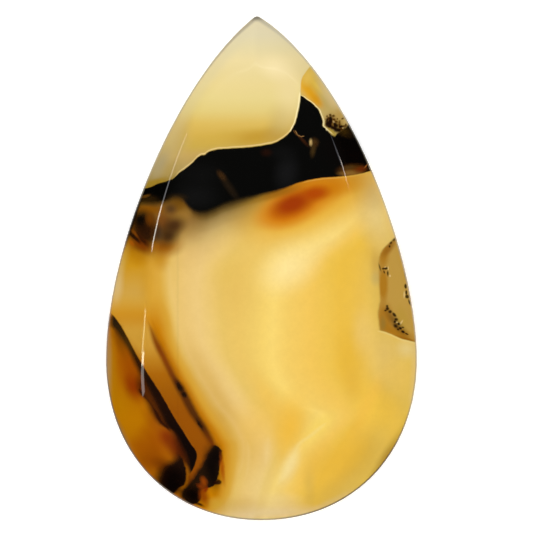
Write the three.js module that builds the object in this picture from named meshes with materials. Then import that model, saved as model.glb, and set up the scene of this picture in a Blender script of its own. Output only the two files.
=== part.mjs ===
// A pear-shaped cabochon of banded, translucent agate, cut and polished from one stone.
// It rests on its flat back. A ground bevel leads from the back to an upright girdle, a
// flank slopes in from the girdle, and a rounded shoulder turns it into the low dome,
// which is highest over the wide end and falls away gently towards the tip.
// Units are millimetres, +Z is up and +Y runs towards the tip. The origin is on the flat
// back, under the middle of the stone's length and width.
import * as THREE from "three";

// The plan: a round foot, two long sides and a small rounded tip that leans to the left.
const LENGTH = 40;
const WIDTH = 24.68;
const WIDEST_Y = -7.25;
const TIP_X = -0.35;
const TIP_RADIUS = 0.4;
const LEFT_TIP_ANGLE = THREE.MathUtils.degToRad(51);
const RIGHT_TIP_ANGLE = THREE.MathUtils.degToRad(58);
// How far the plan's curves keep straight on at the foot, at the widest point and at the tip.
const FOOT_REACH = 7.4;
const WIDEST_REACH_DOWN = 7.3;
const WIDEST_REACH_UP = 8.6;
const TIP_REACH = 8.1;

// The edge all round: the bevel at the back, and the girdle with its small rounding on top.
const BEVEL = 0.45;
const GIRDLE_TOP = 1.5;
const GIRDLE_ROUNDING = 0.08;

// The flank rises evenly from the girdle. It is less steep just round the tip.
const FLANK_SLOPE = Math.tan(THREE.MathUtils.degToRad(41));
const TIP_FLANK_SLOPE = Math.tan(THREE.MathUtils.degToRad(15));
const TIP_FLANK_SPREAD = 8;

// The dome: its highest point, how it curves across and down to the foot, and how it falls
// towards the tip at an even slope after it has rounded over.
const HEIGHT = 5.2;
const HIGHEST_Y = -6;
const RADIUS_ACROSS = 42;
const RADIUS_TO_FOOT = 32;
const FALL_TO_TIP = 0.14;
const FALL_ROUNDING = 3;

// The crest is the middle line that every section is drawn out from.
const CREST_FOOT = new THREE.Vector2(0.6, -13);
const CREST_TIP = new THREE.Vector2(-0.8, 5.5);

// How far the shoulder's rounding reaches to each side of it.
const SHOULDER_REACH = 0.45;

// How finely the plan and each section are divided.
const SIDE_STEPS = 24;
const TIP_STEPS = 5;
const GIRDLE_STEPS = 3;
const FLANK_STEPS = 3;
const SHOULDER_STEPS = 7;
const DOME_STEPS = 9;

// Where a side leaves the tip's arc, and which way it goes. side is -1 for left, 1 for right.
function tipCorner(side) {
  const angle = side < 0 ? LEFT_TIP_ANGLE : RIGHT_TIP_ANGLE;
  const centre = new THREE.Vector2(TIP_X, LENGTH / 2 - TIP_RADIUS);
  const outwards = new THREE.Vector2(side * Math.cos(angle), Math.sin(angle));
  const point = centre.clone().addScaledVector(outwards, TIP_RADIUS);
  const along = new THREE.Vector2(side * Math.sin(angle), -Math.cos(angle));
  return { centre, angle, point, along };
}

// One half of the plan, from the middle of the foot over the widest point to the tip.
function halfPlan(side) {
  const foot = new THREE.Vector2(0, -LENGTH / 2);
  const footHandle = foot.clone().setX(side * FOOT_REACH);
  const widest = new THREE.Vector2((side * WIDTH) / 2, WIDEST_Y);
  const below = widest.clone().setY(WIDEST_Y - WIDEST_REACH_DOWN);
  const above = widest.clone().setY(WIDEST_Y + WIDEST_REACH_UP);
  const { centre, angle, point, along } = tipCorner(side);
  const tipHandle = point.clone().addScaledVector(along, TIP_REACH);
  const start = side < 0 ? Math.PI - angle : angle;
  const curves = [
    new THREE.CubicBezierCurve(foot, footHandle, below, widest),
    new THREE.CubicBezierCurve(widest, above, tipHandle, point),
    new THREE.EllipseCurve(
      centre.x, centre.y, TIP_RADIUS, TIP_RADIUS, start, Math.PI / 2, side < 0,
    ),
  ];
  const steps = [SIDE_STEPS, SIDE_STEPS, TIP_STEPS];
  return curves.flatMap((curve, i) => curve.getPoints(steps[i]).slice(i === 0 ? 0 : 1));
}

// The whole plan, anticlockwise seen from above. It starts and ends at the middle of the foot.
function plan() {
  return [...halfPlan(1), ...halfPlan(-1).reverse().slice(1)];
}

// The crest point that an outline point is drawn out from. The same step on either side has
// the same crest point, so the two halves of the dome close on each other.
function crestPoint(outline, i) {
  const y = (outline[i].y + outline[outline.length - 1 - i].y) / 2;
  const share = (y - CREST_FOOT.y) / (CREST_TIP.y - CREST_FOOT.y);
  return CREST_FOOT.clone().lerp(CREST_TIP, THREE.MathUtils.clamp(share, 0, 1));
}

// The way straight out of the outline at one of its points.
function outwardAt(outline, i) {
  const last = outline.length - 1;
  const before = outline[i === 0 ? last - 1 : i - 1];
  const after = outline[i === last ? 1 : i + 1];
  return new THREE.Vector2(after.y - before.y, before.x - after.x).normalize();
}

// How deep the stone is from an outline point in to the crest, and how steep the flank is
// there. Along the sides the depth is measured square to the outline. Round the tip, where
// the outline turns sharply, it is the plain distance, so that the flank stays smooth.
function flankAt(outline, i, crest) {
  const rim = outline[i];
  const square = rim.clone().sub(crest).dot(outwardAt(outline, i));
  const fromTip = rim.distanceTo(new THREE.Vector2(TIP_X, LENGTH / 2));
  const share = THREE.MathUtils.smoothstep(fromTip, 0, TIP_FLANK_SPREAD);
  return {
    depth: THREE.MathUtils.lerp(rim.distanceTo(crest), square, share),
    slope: THREE.MathUtils.lerp(TIP_FLANK_SLOPE, FLANK_SLOPE, share),
  };
}

function domeHeight(at) {
  const fall = at.y < HIGHEST_Y
    ? (at.y - HIGHEST_Y) ** 2 / (2 * RADIUS_TO_FOOT)
    : FALL_TO_TIP * (Math.hypot(at.y - HIGHEST_Y, FALL_ROUNDING) - FALL_ROUNDING);
  return HEIGHT - fall - at.x ** 2 / (2 * RADIUS_ACROSS);
}

// The section from the middle of the back, round the edge and over the top to the crest,
// at one step of the outline.
function section(outline, i) {
  const rim = outline[i];
  const crest = crestPoint(outline, i);
  const { depth, slope } = flankAt(outline, i, crest);
  const inwards = (inset) => rim.clone().lerp(crest, inset / depth);
  const raised = (at, height) => new THREE.Vector3(at.x, at.y, height);
  const onFlank = (inset) => raised(inwards(inset), GIRDLE_TOP + inset * slope);
  const onDome = (inset) => raised(inwards(inset), domeHeight(inwards(inset)));

  // The shoulder is where the flank comes up to the dome.
  let shoulder = 0;
  for (let turn = 0; turn < 40; turn++) {
    shoulder = (domeHeight(inwards(shoulder)) - GIRDLE_TOP) / slope;
  }

  const edgeLow = raised(rim, GIRDLE_TOP - GIRDLE_ROUNDING);
  const edgeHigh = onFlank(GIRDLE_ROUNDING);
  const edge = new THREE.QuadraticBezierCurve3(edgeLow, onFlank(0), edgeHigh);
  const bendLow = onFlank(shoulder - SHOULDER_REACH);
  const flank = new THREE.LineCurve3(edgeHigh, bendLow);
  const bendHigh = onDome(shoulder + SHOULDER_REACH);
  const bend = new THREE.QuadraticBezierCurve3(bendLow, onFlank(shoulder), bendHigh);
  const domeStart = shoulder + SHOULDER_REACH;
  const dome = Array.from({ length: DOME_STEPS }, (_, step) =>
    onDome(THREE.MathUtils.lerp(domeStart, depth, (step + 1) / DOME_STEPS)));

  return [
    raised(crest, 0),
    raised(inwards(BEVEL), 0),
    raised(rim, BEVEL),
    ...edge.getPoints(GIRDLE_STEPS),
    ...flank.getPoints(FLANK_STEPS).slice(1),
    ...bend.getPoints(SHOULDER_STEPS).slice(1),
    ...dome,
  ];
}

// The stone as one closed solid: neighbouring sections joined all round, with every point
// shared and the faces turned outwards.
function stoneGeometry() {
  const outline = plan();
  const points = [];
  const numbers = new Map();
  const numberOf = (point) => {
    const key = point.toArray().map((value) => value.toFixed(4)).join(" ");
    if (!numbers.has(key)) {
      numbers.set(key, points.length);
      points.push(point);
    }
    return numbers.get(key);
  };
  const rings = outline.map((_, i) => section(outline, i).map(numberOf));
  const faces = [];
  const addFace = (a, b, c) => {
    if (a !== b && b !== c && c !== a) faces.push(a, b, c);
  };
  for (let i = 0; i + 1 < rings.length; i++) {
    for (let j = 0; j + 1 < rings[i].length; j++) {
      addFace(rings[i][j], rings[i + 1][j], rings[i + 1][j + 1]);
      addFace(rings[i][j], rings[i + 1][j + 1], rings[i][j + 1]);
    }
  }
  const geometry = new THREE.BufferGeometry().setFromPoints(points);
  geometry.setIndex(faces);
  return geometry;
}

const agate = new THREE.MeshStandardMaterial({ color: 0xe6b84e, roughness: 0.06 });
const cabochon = new THREE.Mesh(stoneGeometry(), agate);
cabochon.name = "cabochon";

const part = new THREE.Group();
part.add(cabochon);

export default part;
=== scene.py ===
"""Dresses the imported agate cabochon: a polished pear-shaped stone whose bands, stains and
fern-like inclusions are drawn by shader nodes, on a plain pale floor under soft light.

All positions in the markings are millimetres in the stone's own frame: x to the right and
y towards the tip, seen from above, with z up from the flat back."""
import math

import bmesh
import bpy
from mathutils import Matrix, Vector
from mathutils.geometry import interpolate_bezier


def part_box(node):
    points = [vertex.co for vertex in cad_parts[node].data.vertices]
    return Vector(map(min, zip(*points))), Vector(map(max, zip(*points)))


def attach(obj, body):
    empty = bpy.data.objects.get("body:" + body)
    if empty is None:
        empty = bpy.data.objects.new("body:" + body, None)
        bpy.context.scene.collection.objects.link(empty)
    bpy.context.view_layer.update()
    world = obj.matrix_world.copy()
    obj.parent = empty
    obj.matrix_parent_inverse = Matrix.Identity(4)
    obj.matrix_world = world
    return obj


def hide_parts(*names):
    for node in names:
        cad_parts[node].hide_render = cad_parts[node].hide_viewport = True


bl_info = {
    "name": "Agate cabochon",
    "version": (1, 0, 0),
    "blender": (4, 5, 0),
    "location": "3D Viewport > Sidebar > Agate",
    "description": "Adds a polished, banded agate cabochon and a plain studio stage",
    "category": "Add Mesh",
}

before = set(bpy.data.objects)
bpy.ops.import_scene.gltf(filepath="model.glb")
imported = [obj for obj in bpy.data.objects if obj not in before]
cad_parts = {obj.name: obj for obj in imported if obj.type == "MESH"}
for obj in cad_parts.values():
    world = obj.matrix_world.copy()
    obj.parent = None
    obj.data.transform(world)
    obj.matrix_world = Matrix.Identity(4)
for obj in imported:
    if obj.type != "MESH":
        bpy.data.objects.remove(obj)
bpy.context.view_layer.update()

MM = 0.001
STONE_LOW, STONE_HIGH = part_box("cabochon")
LENGTH = (STONE_HIGH[1] - STONE_LOW[1]) / MM
WIDTH = (STONE_HIGH[0] - STONE_LOW[0]) / MM
HEIGHT = (STONE_HIGH[2] - STONE_LOW[2]) / MM

# The plan's curves: the leaning tip, and how far each curve keeps straight on.
WIDEST_Y = -7.25
TIP_X = -0.35
TIP_RADIUS = 0.4
TIP_ANGLES = {-1: math.radians(51), 1: math.radians(58)}
FOOT_REACH = 7.4
WIDEST_REACH_DOWN = 7.3
WIDEST_REACH_UP = 8.6
TIP_REACH = 8.1

# The flank is less steep just round the tip.
TIP_FLANK_ANGLE = math.radians(15)
TIP_FLANK_SPREAD = 8.0

# The dome: where it is highest, how it curves across and down to the foot, and how it
# falls towards the tip at an even slope after it has rounded over.
HIGHEST_Y = -6.0
RADIUS_ACROSS = 42.0
RADIUS_TO_FOOT = 32.0
FALL_TO_TIP = 0.14
FALL_ROUNDING = 3.0
CREST_FOOT = Vector((0.6, -13.0))
CREST_TIP = Vector((-0.8, 5.5))

# How finely the plan and each section are divided, and how often the shoulder's place is
# worked out again from the one before.
FOOT_STEPS = 44
SIDE_STEPS = 56
TIP_STEPS = 10
GIRDLE_STEPS = 6
FLANK_STEPS = 5
SHOULDER_STEPS = 16
DOME_STEPS = 20
SHOULDER_TURNS = 40

# Points closer together than this, in metres, are one point, and an edge shorter than the
# second is taken out. Faces that meet at less than the angle are shaded as one surface.
SAME_POINT = 1e-6
SHORTEST_EDGE = 1e-7
SMOOTH_ANGLE = math.radians(30)

# The photograph's view in mm: the middle of it, how wide it is at the girdle, and how high
# above the girdle the camera is.
PHOTO_CENTRE = Vector((0.402, 0.143))
PHOTO_WIDTH = 42.3
VIEW_HEIGHT = 300.0
SENSOR_WIDTH = 36.0
NEAREST_SEEN = 0.01

# The finish: how the layers slant per mm below the girdle's top, how far above and below the
# bevel's edge the polish gives way to the ground back, and how strongly quartz bends light.
SLANT = (0.35, -0.25, 0.0)
POLISH_FROM = 0.05
GROUND_FROM = -0.02
QUARTZ_IOR = 1.54

# The stage: the floor's size in metres, how far in mm it lies below the stone, its own finish,
# and how bright the surroundings are at eye level and overhead.
FLOOR_SIZE = 6.0
FLOOR_GAP = 0.02
FLOOR_ROUGHNESS = 0.9
FLOOR_GLOW = 0.3
SKY_LEVEL = 0.01
SKY_OVERHEAD = 0.05
LIGHT_DISTANCE = 0.9

# The lights: name, compass angle from +X and angle down from straight up in degrees, how
# many degrees each spans round the compass and up and down, its brightness, its colour,
# and whether the polish reflects it.
LIGHTS = [
    ("soft overhead", 90, 0, 67, 67, 2.76, "#ffffff", False),
    ("left top window", 153.6, 71, 8.2, 5, 2.8, "#fbfaff", True),
    ("left upper window", 160.2, 72, 5, 5, 11.0, "#fffaee", True),
    ("left middle window", 175.6, 66, 11.2, 6, 5.5, "#f6ffd2", True),
    ("left lower window", 183.5, 61.5, 4.5, 10, 13.0, "#fcffe4", True),
    ("left bottom window", 191.9, 61, 12.2, 14, 3.4, "#fff6f0", True),
    ("tip window", 95, 23, 40, 3, 1.6, "#fff6e8", True),
    ("tip right window", 67, 24, 12, 3, 2.2, "#fff6e8", True),
    ("right window", 34.5, 42, 4.1, 8, 1.4, "#f2f2ff", True),
    ("right lower window", 32.9, 42, 0.9, 8, 13.0, "#ffeee0", True),
]


def linear(hex_colour):
    """An sRGB hex colour as linear red, green, blue and alpha."""
    channels = [int(hex_colour[i:i + 2], 16) / 255 for i in (1, 3, 5)]
    return [c / 12.92 if c <= 0.04045 else ((c + 0.055) / 1.055) ** 2.4 for c in channels] + [1.0]


# The settings

def length(name, description, mm):
    """A length that a user can change."""
    return bpy.props.FloatProperty(
        name=name, description=description, default=mm * MM, unit="LENGTH")


def roughness(name, description, value):
    """A roughness that a user can change."""
    return bpy.props.FloatProperty(
        name=name, description=description, default=value, min=0.0, max=1.0, subtype="FACTOR")


def tint(name, description, colour):
    """A colour that a user can change."""
    return bpy.props.FloatVectorProperty(
        name=name, description=description, default=colour[:3], subtype="COLOR", min=0.0, max=1.0)


class CabochonSettings(bpy.types.PropertyGroup):
    """What a user would change on the stone."""
    bevel: length("Back bevel", "Width of the ground bevel round the back", 0.45)
    girdle_top: length("Girdle height", "Height of the upright edge above the back", 1.5)
    girdle_rounding: length(
        "Girdle rounding", "How far the polish has rounded the girdle's top edge", 0.08)
    flank_angle: bpy.props.FloatProperty(
        name="Flank angle", description="How steeply the flank slopes up from the girdle",
        default=math.radians(41), subtype="ANGLE")
    shoulder_reach: length(
        "Shoulder reach", "How far the shoulder's rounding reaches to each side", 0.45)
    polish: roughness("Polished roughness", "Roughness of the polished top and flank", 0.04)
    ground: roughness("Ground roughness", "Roughness of the ground back and its bevel", 0.42)
    black: tint("Black band", "Colour of the dense manganese band", linear("#020201"))
    cap: tint("Cap", "Colour of the milky layer towards the tip", linear("#e9d491"))
    amber: tint("Amber", "Colour of the clear amber layer at the lower left", linear("#a85f02"))


class StageSettings(bpy.types.PropertyGroup):
    """What a user would change on the stage."""
    floor: tint("Floor", "Colour of the floor", (0.98, 0.98, 0.98))
    camera_height: length("Camera height", "Height of the camera above the girdle", VIEW_HEIGHT)


# The shape

def plan_points():
    """The stone's outline in mm, anticlockwise from the middle of the foot, closed."""
    halves = {}
    for side in (1, -1):
        foot = Vector((0, -LENGTH / 2))
        widest = Vector((side * WIDTH / 2, WIDEST_Y))
        centre = Vector((TIP_X, LENGTH / 2 - TIP_RADIUS))
        angle = TIP_ANGLES[side]
        corner = centre + TIP_RADIUS * Vector((side * math.cos(angle), math.sin(angle)))
        along = Vector((side * math.sin(angle), -math.cos(angle)))
        points = interpolate_bezier(
            foot, foot + Vector((side * FOOT_REACH, 0)),
            widest - Vector((0, WIDEST_REACH_DOWN)), widest, FOOT_STEPS + 1)
        points += interpolate_bezier(
            widest, widest + Vector((0, WIDEST_REACH_UP)),
            corner + along * TIP_REACH, corner, SIDE_STEPS + 1)[1:]
        for step in range(1, TIP_STEPS + 1):
            turned = angle + (math.pi / 2 - angle) * step / TIP_STEPS
            points.append(centre + TIP_RADIUS * Vector((side * math.cos(turned), math.sin(turned))))
        halves[side] = [Vector(point[:2]) for point in points]
    return halves[1] + halves[-1][::-1][1:-1]


def dome_height(at):
    """The dome's height in mm over a place."""
    beyond = at.y - HIGHEST_Y
    if beyond < 0:
        fall = beyond ** 2 / (2 * RADIUS_TO_FOOT)
    else:
        fall = FALL_TO_TIP * (math.hypot(beyond, FALL_ROUNDING) - FALL_ROUNDING)
    return HEIGHT - fall - at.x ** 2 / (2 * RADIUS_ACROSS)


def between(start, bend, end, steps):
    """Points on the curve that leaves start towards bend and comes into end from it."""
    points = []
    for step in range(1, steps + 1):
        t = step / steps
        points.append(start * (1 - t) ** 2 + bend * 2 * t * (1 - t) + end * t ** 2)
    return points


def section(outline, i, settings):
    """The section at one step of the outline, from the back's edge up to the crest."""
    rim = outline[i]
    opposite = outline[-i]
    share = ((rim.y + opposite.y) / 2 - CREST_FOOT.y) / (CREST_TIP.y - CREST_FOOT.y)
    crest = CREST_FOOT.lerp(CREST_TIP, min(max(share, 0), 1))
    ahead = outline[(i + 1) % len(outline)] - outline[i - 1]
    square = (rim - crest).dot(Vector((ahead.y, -ahead.x)).normalized())
    spread = min((rim - Vector((TIP_X, LENGTH / 2))).length / TIP_FLANK_SPREAD, 1)
    spread = spread ** 2 * (3 - 2 * spread)
    reach = (rim - crest).length
    depth = reach + (square - reach) * spread
    tip_slope = math.tan(TIP_FLANK_ANGLE)
    slope = tip_slope + (math.tan(settings.flank_angle) - tip_slope) * spread

    girdle_top = settings.girdle_top / MM
    rounding = settings.girdle_rounding / MM
    bevel = settings.bevel / MM
    turn = settings.shoulder_reach / MM

    def inwards(inset):
        return rim.lerp(crest, inset / depth)

    def on_flank(inset):
        return inwards(inset).to_3d() + Vector((0, 0, girdle_top + inset * slope))

    def on_dome(inset):
        return inwards(inset).to_3d() + Vector((0, 0, dome_height(inwards(inset))))

    # The shoulder is where the flank comes up to the dome.
    shoulder = 0.0
    for _ in range(SHOULDER_TURNS):
        shoulder = (dome_height(inwards(shoulder)) - girdle_top) / slope

    edge_low = rim.to_3d() + Vector((0, 0, girdle_top - rounding))
    edge_high = on_flank(rounding)
    bend_low = on_flank(shoulder - turn)
    bend_high = on_dome(shoulder + turn)
    points = [inwards(bevel).to_3d(), rim.to_3d() + Vector((0, 0, bevel)), edge_low]
    points += between(edge_low, on_flank(0), edge_high, GIRDLE_STEPS)
    points += [edge_high.lerp(bend_low, step / FLANK_STEPS) for step in range(1, FLANK_STEPS + 1)]
    points += between(bend_low, on_flank(shoulder), bend_high, SHOULDER_STEPS)
    for step in range(1, DOME_STEPS + 1):
        inset = shoulder + turn + (depth - shoulder - turn) * step / DOME_STEPS
        points.append(on_dome(inset))
    return points


# The places and colours of the markings

def shifted(line, by):
    """A line moved across its course by some mm."""
    return [(at, across + by) for at, across in line]


# What the lists hold: a guide, edge or course is a line, as (y, x) or (x, y) in mm. A fade is
# how softly a layer ends at its line, then the y that it reaches up to and how softly it ends
# there. Clouds are x, y, half lengths, angle, softness, colour and strength. Specks share one
# colour and strength, and are x, y, half lengths, angle and softness. A line that is drawn is
# its course, its half width along that, its softness, colour and strength.

# How edges waver: over what size, and by how much.
SOFT_WAVES = (3.0, 0.35)
CRISP_WAVES = (0.45, 0.06)
RAGGED_WAVES = (0.3, 0.16)
FINE_WAVES = (0.15, 0.14)
WAVE_DETAIL = 2.0

# A faint cloudiness in the layers, coarse and fine, by size.
MOTTLING = [(0.8, "#b07c2c"), (0.25, "#c89c4c")]
MOTTLE_MIDDLE = 0.5
MOTTLE_SOFT = 0.25
MOTTLE_STRENGTH = 0.05

# The fortification bands nest between four guide lines, each given as (y, x). The bands'
# colours run from the first guide, 0, to the last, 3, and on past it.
BAND_GUIDES = [
    [(-20, -4.6), (-16.8, -3.5), (-14.3, -3.3), (-13.4, -3.9), (-11.3, -5.2), (-8.6, -6.8),
     (-6, -8.2), (-4, -8.8), (-1, -9.4), (2, -9.4), (7, -9.5)],
    [(-20, -0.8), (-16.5, 0), (-14.5, 0.4), (-13.5, 0.2), (-11, -1.6), (-8.5, -3.3),
     (-5.5, -4.8), (-2, -5.1), (1, -4.7), (3.5, -3.8), (7, -3)],
    [(-20, 0.2), (-17.2, 1.1), (-15.7, 2.1), (-14.3, 3.1), (-13, 4.3), (-12.1, 5.0), (-11, 3.3),
     (-9.8, 2.0), (-8.5, 1.2), (-7, 0.9), (-3, 1.0), (-1, 1.3), (0.2, 2.0), (1.5, 4.0), (3, 6.3),
     (4.5, 7.9), (7, 10)],
    [(-20, 3), (-17.5, 4.6), (-15, 6.2), (-13, 7.4), (-11.8, 8.6), (-10.8, 9.3), (-9.5, 8.3),
     (-7.5, 7.2), (-4, 7), (0, 7), (1, 7.4), (2, 8.2), (3, 9.3), (4, 10.6), (7, 13)],
]
LAST_BAND_WIDTH = 3.0
BAND_COLOURS = [
    (0.0, "#cd9628"), (0.3, "#d7a53c"), (0.5, "#e2bd64"), (0.74, "#e6c275"), (1.0, "#e9c77e"),
    (1.15, "#e9c777"), (1.32, "#e5c165"), (1.5, "#e8c263"), (1.67, "#ebc766"), (1.87, "#f3d16c"),
    (2.0, "#f7d672"), (2.2, "#f2cb64"), (2.5, "#f2c659"), (2.7, "#eec350"), (2.87, "#ecbe46"),
    (3.0, "#ecbf49"), (3.33, "#e9be50"), (3.67, "#e7c15a"), (4.0, "#eac356"),
]
# The pale cream clouds along the outline at the foot and on the right are light painted along the edge.
FIELD_CLOUDS_AND_EDGE_LIGHT = [
    (-4.5, -9.2, 1.0, 3.4, 32, 1.0, "#c89a40", 0.5), (-2.9, -12.4, 0.9, 2.4, 30, 1.0, "#c8983c", 0.5),
    (-1.2, -14.8, 1.2, 1.8, 5, 1.0, "#dcae4c", 0.45), (0.3, -12.0, 1.8, 1.6, 25, 1.0, "#eebf50", 0.6),
    (2.2, 0.1, 1.9, 1.3, 35, 1.0, "#fee69e", 0.85), (4.6, 1.9, 2.4, 0.8, 38, 1.0, "#f8dc8c", 0.5),
    (2.3, -12.6, 2.0, 1.0, 80, 1.0, "#f0ba3c", 0.85), (0.5, -10.0, 0.5, 1.8, 30, 1.0, "#efc052", 0.5),
    (4.6, -12.6, 1.3, 0.5, 45, 1.0, "#f7d560", 0.6), (7.0, -7.0, 0.8, 2.0, 0, 1.0, "#e4b232", 0.6),
    (7.2, -9.2, 0.5, 1.1, 5, 1.0, "#e2b040", 0.5), (8.6, -10.6, 0.45, 2.2, -28, 1.0, "#eeb848", 0.6),
    (6.6, 0.2, 1.1, 1.8, -20, 1.0, "#ebbd40", 0.5), (6.8, -15.2, 1.2, 2.2, -35, 1.0, "#e8b230", 0.6),
    (4.4, -15.6, 1.4, 0.9, 60, 1.0, "#e6b23c", 0.5), (3.8, -17.4, 0.35, 1.5, 0, 1.0, "#dcb250", 0.6),
    (8.0, -14.6, 0.8, 1.4, -35, 1.0, "#e6b63c", 0.5), (10.4, -14.35, 3.0, 0.42, 58, 0.9, "#a87a20", 0.75),
    (1.0, -19.65, 5.0, 0.32, 0, 0.9, "#e8d6ae", 0.35), (5.2, -18.72, 2.4, 0.26, 25, 0.9, "#dfc590", 0.4),
    (12.15, -9.0, 0.3, 3.0, 0, 0.9, "#ead09c", 0.5), (10.5, 3.6, 0.3, 2.8, 18, 0.9, "#efdab0", 0.5),
    (8.1, -5.0, 0.7, 1.4, 0, 1.0, "#ecca78", 0.5), (9.9, -6.8, 1.1, 1.7, 5, 1.0, "#efcb76", 0.65),
    (11.5, -6.4, 0.6, 0.6, 0, 1.0, "#f2d994", 0.7), (11.0, -8.6, 1.3, 1.3, 0, 1.0, "#f6cc62", 0.7),
    (9.9, -11.7, 1.8, 1.4, -50, 1.0, "#facb4c", 0.85), (-2.2, -1.8, 1.8, 1.7, 0, 1.0, "#e0b85a", 0.45),
    (-2.9, -0.3, 1.2, 0.9, 20, 1.0, "#dfb955", 0.3), (2.2, -15.8, 0.5, 1.2, -22, 1.0, "#f2dca0", 0.6),
    (0.2, -17.4, 1.5, 1.6, 10, 1.0, "#ecd084", 0.5), (1.0, -19.3, 3.0, 0.45, 0, 1.0, "#ebd09c", 0.7),
    (1.4, -18.5, 1.4, 0.5, 0, 1.0, "#ecd08e", 0.6), (9.0, 4.3, 1.1, 2.1, 20, 1.0, "#f4d98e", 0.85),
    (8.8, 6.0, 0.7, 1.1, 20, 1.0, "#d6ba7c", 0.7), (-1.8, -18.7, 1.5, 0.5, 0, 1.0, "#d6b062", 0.5),
    (-5.6, 1.2, 2.0, 0.9, 30, 1.0, "#d2aa66", 0.3), (-1.0, 3.9, 1.6, 0.8, 18, 1.0, "#bd9448", 0.4),
]

# Wide, soft growth lines by (y, x).
GROWTH_LINES = [
    ([(-17.6, 1.0), (-16.8, 1.6), (-16, 2.0), (-15, 2.5), (-14, 3.0), (-13.2, 4.0), (-12.1, 5.3)],
     [(-17.6, -0.35), (-16.2, 0.25), (-15.4, 0.3), (-14, 0.1), (-12.9, 0.1), (-12.1, -0.35)],
     0.35, "#f4dc94", 0.6),
    ([(-17, -2.0), (-14.4, -1.4), (-13.2, -1.7), (-10.7, -3.5), (-8.3, -5.0), (-6, -6.1),
      (-2.8, -6.9), (0.6, -7.4)],
     [(-17, -0.6), (-15, 0.1), (-5, 0.15), (-0.6, 0.05), (0.6, -0.6)], 0.55, "#ebc98a", 0.35),
    ([(-16.2, 0.3), (-12.8, 0.6)], [(-16.2, -0.4), (-14.5, 0.1), (-12.8, -0.4)], 0.35,
     "#f2d898", 0.4),
    ([(-17.2, -1.4), (-15, -1.0), (-13.4, -1.2)], [(-17.2, -0.3), (-15, 0.1), (-13.4, -0.3)], 0.3,
     "#ecd08c", 0.35),
]

# The golden flank at the upper left, outside the bands, by y.
FLANK_SOFT = 0.7
FLANK_SHADES = [
    (-6.0, "#c69334"), (-4.8, "#ce9f44"), (-3.4, "#cfa54c"), (-2.0, "#cea24a"), (-0.8, "#cc9a34"),
    (0.2, "#ca9218"), (1.0, "#bc8002"), (1.6, "#b47400"),
]
# The pale cloud along the outline at (-11.55, -1.8) is light painted along the edge.
GOLD_FLANK_AND_EDGE_LIGHT = [
    (-11.1, 0.4, 0.35, 1.5, -14, 0.9, "#c69c38", 0.8), (-11.55, -1.8, 0.4, 1.9, -8, 0.9, "#d6ba82", 0.75),
    (-9.6, 0.9, 0.6, 0.6, 0, 0.9, "#b87a00", 0.7), (-8.0, 0.8, 0.6, 0.7, 0, 0.9, "#bf8618", 0.8),
    (-7.95, -4.4, 0.45, 1.35, 12, 0.9, "#cc8200", 0.85),
]

# The saturated zone right of the brown stripe ends at this line, as (y, x), and a deeper one
# lies inside it.
HALO_EDGE = [
    (-19.4, -4.4), (-19, -3.6), (-18.2, -2.8), (-17.3, -2.5), (-15.6, -2.2), (-14.4, -2.15),
    (-13.4, -2.6), (-12, -3.57), (-10.4, -4.62), (-8.4, -5.72), (-7.2, -6.4), (-6, -6.88), (-4, -7.35),
    (-2, -7.7),
]
HALO_COLOUR = "#d09c30"
HALO_FADE = (0.45, -2.6, 1.4)
HALO_INNER = 0.55
INNER_COLOUR = "#c47c00"
INNER_FADE = (0.5, -3.6, 1.4)

# The fill between the stripes ends at the brown stripe and round the dark blobs, as (y, x).
FILL_EDGE = [
    (-19.4, -6.6), (-18.8, -5.4), (-18, -4.8), (-17.2, -4.0), (-16, -3.6), (-15, -3.5), (-14.3, -3.8),
    (-12.9, -4.65), (-11.4, -5.5), (-9.4, -6.6), (-8.2, -7.1), (-6.2, -8.15), (-4, -9.1),
]
FILL_FADE = (0.3, -4.2, 1.0)
FILL_SHADES = [
    (-18.0, "#8c4202"), (-15.4, "#8b4701"), (-13.4, "#934e00"), (-11.4, "#934e00"), (-9.6, "#9b5802"),
    (-8.4, "#a66204"), (-7.3, "#b67a1a"), (-6.2, "#c69232"), (-5.0, "#ca9838"),
]

# The clear amber outside the black stripe, and its stains. The two greyish ones along the outline at the
# far left only make the edge greyer.
AMBER_FADE = (0.1, -3.6, 0.3)
AMBER_STAINS = [
    (-11.2, -11.2, 1.1, 2.2, 20, 0.9, "#b27400", 0.9), (-9.9, -12.0, 1.2, 1.0, 40, 0.9, "#b67200", 0.9),
    (-11.9, -8.0, 0.35, 2.6, 0, 0.9, "#ae7608", 0.8), (-12.2, -8.0, 0.24, 3.4, 0, 0.9, "#a08c64", 0.5),
    (-11.2, -12.8, 0.22, 2.6, 26, 0.9, "#8a6c38", 0.45), (-10.3, -8.0, 0.7, 1.7, 18, 0.9, "#964400", 0.8),
    (-10.2, -9.4, 0.55, 0.9, 25, 0.9, "#862c00", 0.85),
    (-11.3, -5.6, 0.35, 1.2, 18, 0.9, "#7c4200", 0.85), (-8.9, -13.0, 1.0, 0.6, 30, 0.9, "#a86000", 0.7),
    (-8.3, -13.9, 0.9, 1.2, 20, 0.9, "#984800", 0.7), (-7.5, -13.4, 0.5, 0.7, 30, 0.9, "#7c2400", 0.8),
    (-8.9, -15.2, 0.9, 0.8, -30, 0.9, "#8a4300", 0.8), (-9.6, -14.2, 0.7, 0.5, -40, 0.9, "#9c5000", 0.7),
    (-6.45, -14.6, 0.5, 0.9, 10, 0.9, "#3c1002", 0.85),
    (-6.95, -14.0, 0.5, 0.9, 12, 0.9, "#702600", 0.85), (-8.7, -12.0, 0.4, 0.8, 38, 0.9, "#8a3c00", 0.45),
    (-7.7, -15.7, 0.8, 0.5, -25, 0.9, "#662a00", 0.8),
]

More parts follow.
